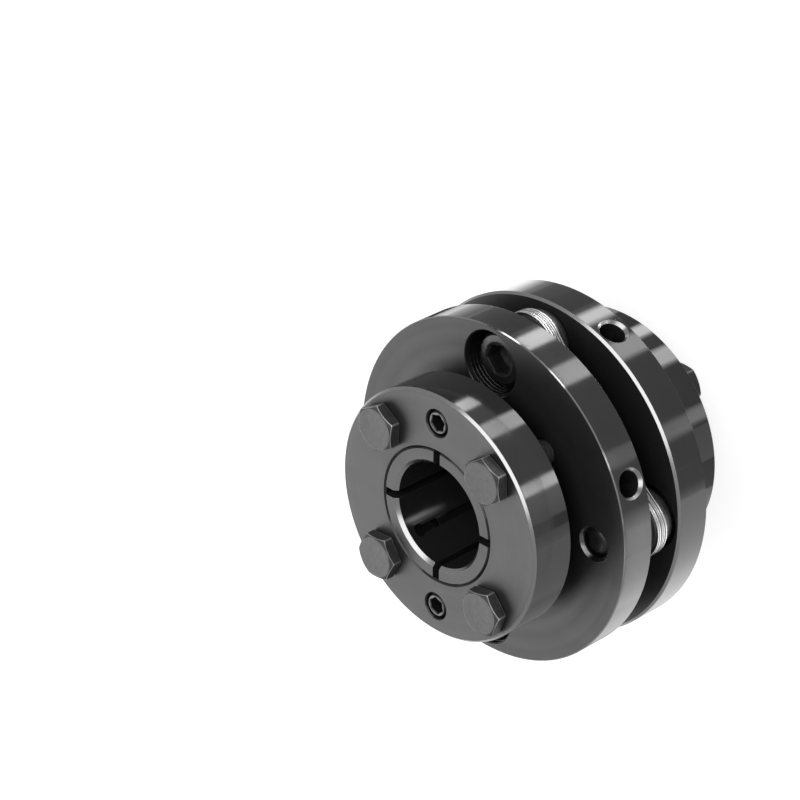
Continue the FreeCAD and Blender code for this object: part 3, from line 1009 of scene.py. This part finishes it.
def thread_lines(tree):
    """The nodes that make one helical ridge, with its crest at the thread radius."""
    given = tree.given
    ridge = given["Ridge"]
    way = given["Outward"]
    middle = tree.math("SUBTRACT", given["Thread Radius"], tree.times(ridge, way))
    helix = {"Resolution": 30, "Rotations": given["Turns"], "Start Radius": middle, "End Radius": middle}
    helix["Height"] = tree.times(given["Pitch"], given["Turns"])
    spiral = tree.node("GeometryNodeCurveSpiral", helix)
    level = tree.node("GeometryNodeSetCurveNormal", {"Curve": spiral.outputs[0]}, mode="Z_UP")
    profile = tree.node("GeometryNodeCurvePrimitiveCircle", {"Resolution": 3, "Radius": ridge})
    half_turn = tree.times(tree.math("ADD", way, 1.0), math.pi / 2)
    spin = tree.node("ShaderNodeCombineXYZ", {"Z": half_turn}).outputs[0]
    aimed = {"Geometry": profile.outputs["Curve"], "Rotation": spin}
    aimed = tree.node("GeometryNodeTransform", aimed).outputs[0]
    swept = {"Curve": level.outputs[0], "Profile Curve": aimed, "Fill Caps": True}
    swept = tree.node("GeometryNodeCurveToMesh", swept).outputs[0]
    down = tree.node("ShaderNodeCombineXYZ", {"Z": given["Thread Start"]}).outputs[0]
    return tree.node("GeometryNodeTransform", {"Geometry": swept, "Translation": down}).outputs[0]


def piece_of(tree):
    """The mesh of the piece that the tree is given."""
    return tree.node("GeometryNodeObjectInfo", {"Object": tree.given["Piece"]}).outputs["Geometry"]


def own_turn(tree):
    """The turn that each point carries."""
    made = tree.node("GeometryNodeInputNamedAttribute", {"Name": "turn"}, data_type="FLOAT_VECTOR")
    return tree.node("FunctionNodeEulerToRotation", {0: made.outputs["Attribute"]}).outputs[0]


def set_on_points(tree, points, piece, turn):
    """Ends a tree: the piece on every point, turned, made real and given its material."""
    placed = {"Points": points, "Instance": piece, "Rotation": turn}
    placed = tree.node("GeometryNodeInstanceOnPoints", placed)
    real = tree.node("GeometryNodeRealizeInstances", {0: placed.outputs[0]}).outputs[0]
    finished = {"Geometry": real, "Material": tree.given["Material"]}
    finished = tree.node("GeometryNodeSetMaterial", finished)
    tree.feed(tree.result, finished.outputs[0])


def threaded_tree():
    """A piece and its thread, set on each point and turned by the point's own angles."""
    inputs = [("Piece", "Object", None), ("Material", "Material", None)]
    inputs += [("Thread Radius", "Float", 0.004), ("Pitch", "Float", 0.00125), ("Turns", "Float", 10.0)]
    inputs += [("Ridge", "Float", 0.0006), ("Thread Start", "Float", 0.0), ("Outward", "Float", 1.0)]
    tree = Tree("threaded_pieces", inputs)
    both = tree.node("GeometryNodeJoinGeometry")
    tree.feed(both.inputs[0], piece_of(tree))
    tree.feed(both.inputs[0], thread_lines(tree))
    set_on_points(tree, tree.given["Geometry"], both.outputs[0], own_turn(tree))
    return tree


threaded = threaded_tree()
print("inputs:", list(threaded.sockets))

# %% [markdown]
# The rear half of the coupling is the front half turned half a turn about the line y = x. The same
# matrix that says so places the rear screws, so their heads point down and their turns follow.

# %% Places and turns
over = Matrix(((0, 1, 0), (1, 0, 0), (0, 0, -1)))


def both_halves(radius, angles, height, turns=(0.0,)):
    """(place, turn) of a piece in each half, at these angles round the axis; sizes in mm."""
    places = []
    for i, angle in enumerate(angles):
        a = math.radians(angle)
        place = Vector((radius * math.cos(a), radius * math.sin(a), height)) * mm
        spin = Matrix.Rotation(math.radians(turns[i % len(turns)]), 3, "Z")
        places.append((place, spin))
        places.append((over @ place, over @ spin))
    return places


def points_at(name, places):
    """A mesh of loose points that carry their turn as an attribute."""
    mesh = bpy.data.meshes.new(name)
    mesh.from_pydata([place for place, _ in places], [], [])
    turn = mesh.attributes.new("turn", "FLOAT_VECTOR", "POINT")
    for item, (_, spin) in zip(turn.data, places):
        item.vector = spin.to_euler()
    return mesh


def plain_mesh(name, places, tree, mesh, material, values):
    """The tree's result on these points, as an object with a plain mesh and no modifier."""
    holder = linked(name, points_at(name, places))
    modifier = holder.modifiers.new(name, "NODES")
    modifier.node_group = tree.tree
    values = {"Piece": bpy.data.objects.new("one_" + mesh.name, mesh), "Material": material, **values}
    for label, value in values.items():
        modifier[tree.sockets[label]] = value
    shown = holder.evaluated_get(bpy.context.evaluated_depsgraph_get())
    result = bpy.data.meshes.new_from_object(shown)
    holder.modifiers.clear()
    points = holder.data
    holder.data = result
    result.name = name
    bpy.data.meshes.remove(points)
    return holder


def thread(radius, pitch, turns, ridge, start, outward=1.0):
    """The sizes of a thread, in mm; outward is -1 for one that is cut in a hole."""
    return {
        "Thread Radius": radius * mm,
        "Pitch": pitch * mm,
        "Turns": turns,
        "Ridge": ridge * mm,
        "Thread Start": start * mm,
        "Outward": outward,
    }


def dressed(piece, slot_name, *replaced):
    """Lets a piece ride on the coupling and stand for CAD nodes; the slot name is not used."""
    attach(piece, "root")
    if replaced:
        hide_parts(*replaced)
    print(piece.name, len(piece.data.polygons), "faces for", len(replaced), "nodes")


def named(kind):
    """The CAD nodes of one kind."""
    return [name for name in nodes if kind in name]


print("rear half matrix", [list(row) for row in over])

# %% [markdown]
# Four M8 bolts in each half pull the clamp ring towards the flange. Their heads stand at chance
# angles, as hand-tightened bolts do, and a stretch of thread shows in the gap behind the ring.

# %% Clamp bolts
ring_face = 37.5
bolt_circle = 29.5
bolt_angles = (45, 135, 225, 315)
bolt_turns = (33.0, 27.0, 3.0, 10.0)
bolt_places = both_halves(bolt_circle, bolt_angles, ring_face, bolt_turns)
bolt_thread = thread(radius=4.0, pitch=1.25, turns=18.0, ridge=0.62, start=-31.0)
bolts = plain_mesh("clamp_bolts", bolt_places, threaded, bolt_piece, bolt_material, bolt_thread)
dressed(bolts, "bolt_steel", *named("clamp_bolt"))

# %% [markdown]
# Two headless jack screws in each ring push it off the taper again when the coupling is taken
# apart. Their hexagon sockets sit just below the ring's face.

# %% Jack screws
jack_angles = (90, 270)
jack_turns = (17.0, 40.0)
jack_depth = 0.3
jack_places = both_halves(bolt_circle, jack_angles, ring_face - jack_depth, jack_turns)
jack_thread = thread(radius=4.0, pitch=1.25, turns=9.0, ridge=0.62, start=-12.0)
jacks = plain_mesh("jack_screws", jack_places, threaded, jack_piece, screw_material, jack_thread)
dressed(jacks, "screw_steel", *named("jack_screw"))

# %% [markdown]
# Two low socket head screws in each half go through the disc pack into the other flange. Their
# knurled heads sit deep in wide holes, and their domed ends show in the small holes.

# %% Pack screws
pack_circle = 40.5
inner_face = 5.5
wide_angles = (90, 270)
pack_turns = (11.0, 29.0)
pack_places = both_halves(pack_circle, wide_angles, inner_face, pack_turns)
pack_thread = thread(radius=5.0, pitch=1.5, turns=6.5, ridge=0.72, start=-20.0)
pack_screws = plain_mesh(
    "pack_screws", pack_places, threaded, pack_screw_piece, screw_material, pack_thread)
dressed(pack_screws, "screw_steel", *named("pack_screw"))

# %% [markdown]
# The wide holes are tapped too, so that a tool can pull the flange, and their threads show as a
# few bright ridges on the far wall. A liner is only that thread: the same tree, turned inwards.

# %% Threads in the wide holes
def hollow_mesh(name, rings):
    """A closed ring-shaped mesh through (radius, height, wear and painted glint) in mm, joined end to end.
    """
    angles = [math.radians(5 * i) for i in range(72)]
    count = len(angles)
    verts = [(r * math.cos(a) * mm, r * math.sin(a) * mm, z * mm) for r, z, _ in rings for a in angles]
    wear = [wear_and_glint_mask for _, _, wear_and_glint_mask in rings for _ in angles]
    faces = []
    for j in range(len(rings)):
        n = (j + 1) % len(rings)
        for i in range(count):
            k = (i + 1) % count
            faces.append((j * count + i, j * count + k, n * count + k, n * count + i))
    return closed_mesh(name, verts, faces, wear, sharp_angle=30)


front_face = 17.0
wide_rings = [(9.9, -0.2, 0), (9.7, -0.3, 0), (9.65, -0.6, 0), (9.9, -0.7, 0)]
wide_mouth = hollow_mesh("wide_mouth", wide_rings)
wide_places = both_halves(pack_circle, wide_angles, front_face)
wide_thread = thread(radius=9.2, pitch=1.25, turns=8.0, ridge=0.66, start=-11.0, outward=-1.0)
wide_threads = plain_mesh(
    "wide_hole_threads", wide_places, threaded, wide_mouth, thread_material, wide_thread)
dressed(wide_threads, "flange_steel")

# %% [markdown]
# The small holes end in a countersink that narrows to the thread's root, below which the domed end
# of the other half's screw shows.

# %% Mouths of the small holes
# The countersink carries 0.6 of the wear: a lighter slope, partly wear and partly painted highlight.
small_rings = [(5.33, -0.01, 0.6), (4.45, -0.85, 0.6), (4.4, -0.92, 0), (4.35, -1.0, 0)]
small_rings += [(4.35, -3.4, 0), (5.2, -3.4, 0), (5.2, -0.3, 0)]
small_mouth = hollow_mesh("small_mouth", small_rings)
small_angles = (0, 180)
small_places = both_halves(pack_circle, small_angles, front_face)
small_thread = thread(radius=4.15, pitch=1.5, turns=1.6, ridge=0.4, start=-3.3, outward=-1.0)
small_mouths = plain_mesh(
    "small_hole_mouths", small_places, threaded, small_mouth, thread_material, small_thread)
dressed(small_mouths, "flange_steel")

# %% [markdown]
# ## The disc pack
#
# The discs carry the torque and bend a little, so that the shafts may be slightly out of line. Each
# is a thin stamped plate: a square with round corners, waisted between them, with a wide opening and
# four screw holes. The outline follows a rule, so it is drawn by angle. One disc is repeated five
# times on points, each turned a hair differently, because a stack is never perfectly aligned.

# %% One disc
disc_corner = 10.2
disc_waist = 1.2
disc_opening = 28.0
disc_hole = 5.2
disc_angles = (0, 90, 180, 270)
disc_thickness = 0.74


def disc_reach(angle, inset=0.0):
    """Distance from the axis to the outline, in mm, inset by this much."""
    corner = disc_corner - inset
    off = abs((angle + math.pi / 4) % (math.pi / 2) - math.pi / 4)
    half = pack_circle * math.cos(math.pi / 4)
    waist = half + disc_corner - disc_waist
    over_all = pack_circle ** 2 + waist ** 2 - 2 * half * waist - disc_corner ** 2
    side = over_all / (2 * (disc_corner - waist + half))
    centre = waist + side
    side += inset
    join = Vector((centre * math.cos(math.pi / 4) - pack_circle, centre * math.sin(math.pi / 4)))
    join = Vector((pack_circle, 0)) + join.normalized() * corner
    if off < math.atan2(join.y, join.x):
        return pack_circle * math.cos(off) + math.sqrt(corner ** 2 - (pack_circle * math.sin(off)) ** 2)
    away = math.pi / 4 - off
    return centre * math.cos(away) - math.sqrt(side ** 2 - (centre * math.sin(away)) ** 2)


def around(x, y, radius, step):
    """Points of a circle, one for each step in degrees."""
    angles = [math.radians(step * i) for i in range(360 // step)]
    return [(x + radius * math.cos(a), y + radius * math.sin(a)) for a in angles]


def loop_points(kind, inset):
    """Points of one loop of the disc: its outline, its opening or the hole at an angle."""
    if kind == "outline":
        angles = [math.radians(1.5 * i) for i in range(240)]
        return [(disc_reach(a, inset) * math.cos(a), disc_reach(a, inset) * math.sin(a)) for a in angles]
    if kind == "opening":
        return around(0.0, 0.0, disc_opening + inset, 5)
    middle = math.radians(kind)
    x, y = pack_circle * math.cos(middle), pack_circle * math.sin(middle)
    return around(x, y, disc_hole + inset, 15)


def disc_mesh():
    """One disc about the Z axis, centred on height 0, with its edges rounded."""
    half = disc_thickness / 2
    levels = [(0.2, -half), (0.05, -half + 0.05), (0.0, -half + 0.16)]
    levels += [(inset, -height) for inset, height in reversed(levels)]
    work = bmesh.new()
    rims = {-half: [], half: []}
    for kind in ("outline", "opening", *disc_angles):
        rows = []
        for inset, height in levels:
            points = loop_points(kind, inset)
            rows.append([work.verts.new((x * mm, y * mm, height * mm)) for x, y in points])
        for low, high in zip(rows, rows[1:]):
            for i in range(len(low)):
                k = (i + 1) % len(low)
                work.faces.new((low[i], low[k], high[k], high[i]))
        for height, row in ((-half, rows[0]), (half, rows[-1])):
            rims[height] += [work.edges.get((row[i], row[(i + 1) % len(row)])) for i in range(len(row))]
    for rim in rims.values():
        bmesh.ops.triangle_fill(work, edges=rim, use_beauty=True)
    bmesh.ops.recalc_face_normals(work, faces=work.faces)
    mesh = bpy.data.meshes.new("disc")
    work.to_mesh(mesh)
    open_edges = sum(not edge.is_manifold for edge in work.edges)
    work.free()
    mesh.polygons.foreach_set("use_smooth", [True] * len(mesh.polygons))
    mesh.set_sharp_from_angle(angle=math.radians(40))
    print("disc:", len(mesh.polygons), "faces,", open_edges, "open edges")
    return mesh


disc_piece = disc_mesh()

# %% Geometry Nodes tree: a loose stack
def stack_tree():
    """A piece set on each point, each moved and turned a little at random."""
    inputs = [("Piece", "Object", None), ("Material", "Material", None)]
    inputs += [("Shift", "Float", 0.0001), ("Twist", "Float", 0.002), ("Seed", "Int", 1)]
    tree = Tree("loose_stack", inputs)
    given = tree.given

    def either_way(most, seed):
        """A random vector for each point, between this one and its opposite."""
        least = tree.node("ShaderNodeVectorMath", {0: most, "Scale": -1.0}, operation="SCALE").outputs[0]
        drawn = {0: least, 1: most, "Seed": seed}
        return tree.node("FunctionNodeRandomValue", drawn, data_type="FLOAT_VECTOR").outputs[0]

    shift = tree.node("ShaderNodeCombineXYZ", {"X": given["Shift"], "Y": given["Shift"]}).outputs[0]
    moved = {"Geometry": given["Geometry"], "Offset": either_way(shift, given["Seed"])}
    points = tree.node("GeometryNodeSetPosition", moved).outputs[0]
    twist = tree.node("ShaderNodeCombineXYZ", {"Z": given["Twist"]}).outputs[0]
    twist = either_way(twist, tree.math("ADD", given["Seed"], 1.0))
    twist = tree.node("FunctionNodeEulerToRotation", {0: twist}).outputs[0]
    turned_on = {0: own_turn(tree), 1: twist}
    turned_on = tree.node("FunctionNodeRotateRotation", turned_on, rotation_space="LOCAL").outputs[0]
    set_on_points(tree, points, piece_of(tree), turned_on)
    return tree


stack = stack_tree()
disc_count = 5
disc_levels = [(i - (disc_count - 1) // 2) * disc_pitch * mm for i in range(disc_count)]
disc_places = [(Vector((0, 0, level)), Matrix.Identity(3)) for level in disc_levels]
disc_chance = {"Shift": 0.1 * mm, "Twist": 0.002, "Seed": 3}
discs = plain_mesh("disc_pack", disc_places, stack, disc_piece, disc_material, disc_chance)
dressed(discs, "disc_steel", *named("disc_lamination"))

# %% [markdown]
# Eight hardened collars hold the pack away from the flanges. Each has a chamfer towards the discs,
# so that they may bend, and a fine groove left by its lathe.

# %% Collars
def collar_mesh():
    """A collar about the Z axis, its disc side at height 0."""
    # Wear values of 1 light the chamfers' edges: partly wear, partly painted glints.
    rings = [(5.2, 0.0, 0), (7.9, 0.0, 0), (8.15, 0.08, 1), (8.3, 0.24, 0), (8.75, 0.7, 0), (8.9, 0.9, 1)]
    rings += [(8.97, 1.1, 0.4), (8.97, 1.5, 0), (8.85, 1.58, 0), (8.85, 1.75, 0), (8.97, 1.83, 0.3)]
    rings += [(8.95, 2.9, 0), (8.9, 3.1, 0), (8.8, 3.25, 0), (8.55, 3.48, 0), (5.2, 3.48, 0)]
    return hollow_mesh("collar", rings)


collar_height = 2.01
collar_places = both_halves(pack_circle, disc_angles, collar_height)
collar_chance = {"Shift": 0.0, "Twist": 1.5, "Seed": 5}
collars = plain_mesh("pack_collars", collar_places, stack, collar_mesh(), collar_material, collar_chance)
dressed(collars, "collar_steel", *named("pack_collar"))

# %% [markdown]
# Last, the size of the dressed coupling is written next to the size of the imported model. The
# pieces above must stay inside it, because the model's sizes are the real ones.

# %% Compare the sizes and finish
shown_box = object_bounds()
for label, box in (("model", cad_box), ("dressed", shown_box)):
    print(label, [round(side / mm, 2) for side in box[1] - box[0]], "mm")
